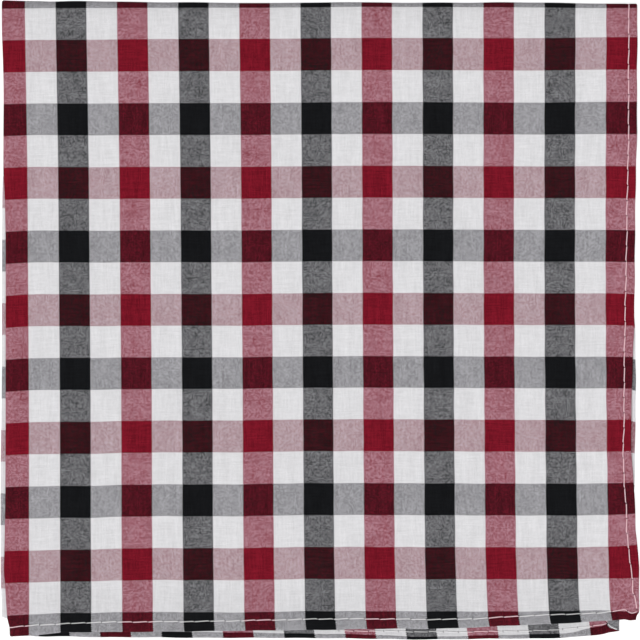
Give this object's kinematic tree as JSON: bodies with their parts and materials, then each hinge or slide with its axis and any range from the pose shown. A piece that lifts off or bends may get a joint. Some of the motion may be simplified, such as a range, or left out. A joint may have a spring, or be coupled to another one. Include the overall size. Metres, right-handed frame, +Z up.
{
  "type": "folded pocket square",
  "caption": "Hemmed square of red, black and white gingham cotton, folded in half twice into a flat quarter with its four layers a little apart.",
  "frame": {"origin": "middle of the folded cloth's outline, on the surface it rests on", "axes": "+Z up out of the cloth's face, +Y towards the outer fold along the top, +X towards the hems on the right"},
  "size_m": [0.1542, 0.1542, 0.0063],
  "materials": {
    "checked_cotton": "matt plain-woven cotton in a red, black and white gingham check, with white stitched hems"
  },
  "bodies": {
    "root": {"pocket_square": "checked_cotton"}
  },
  "joints": []
}
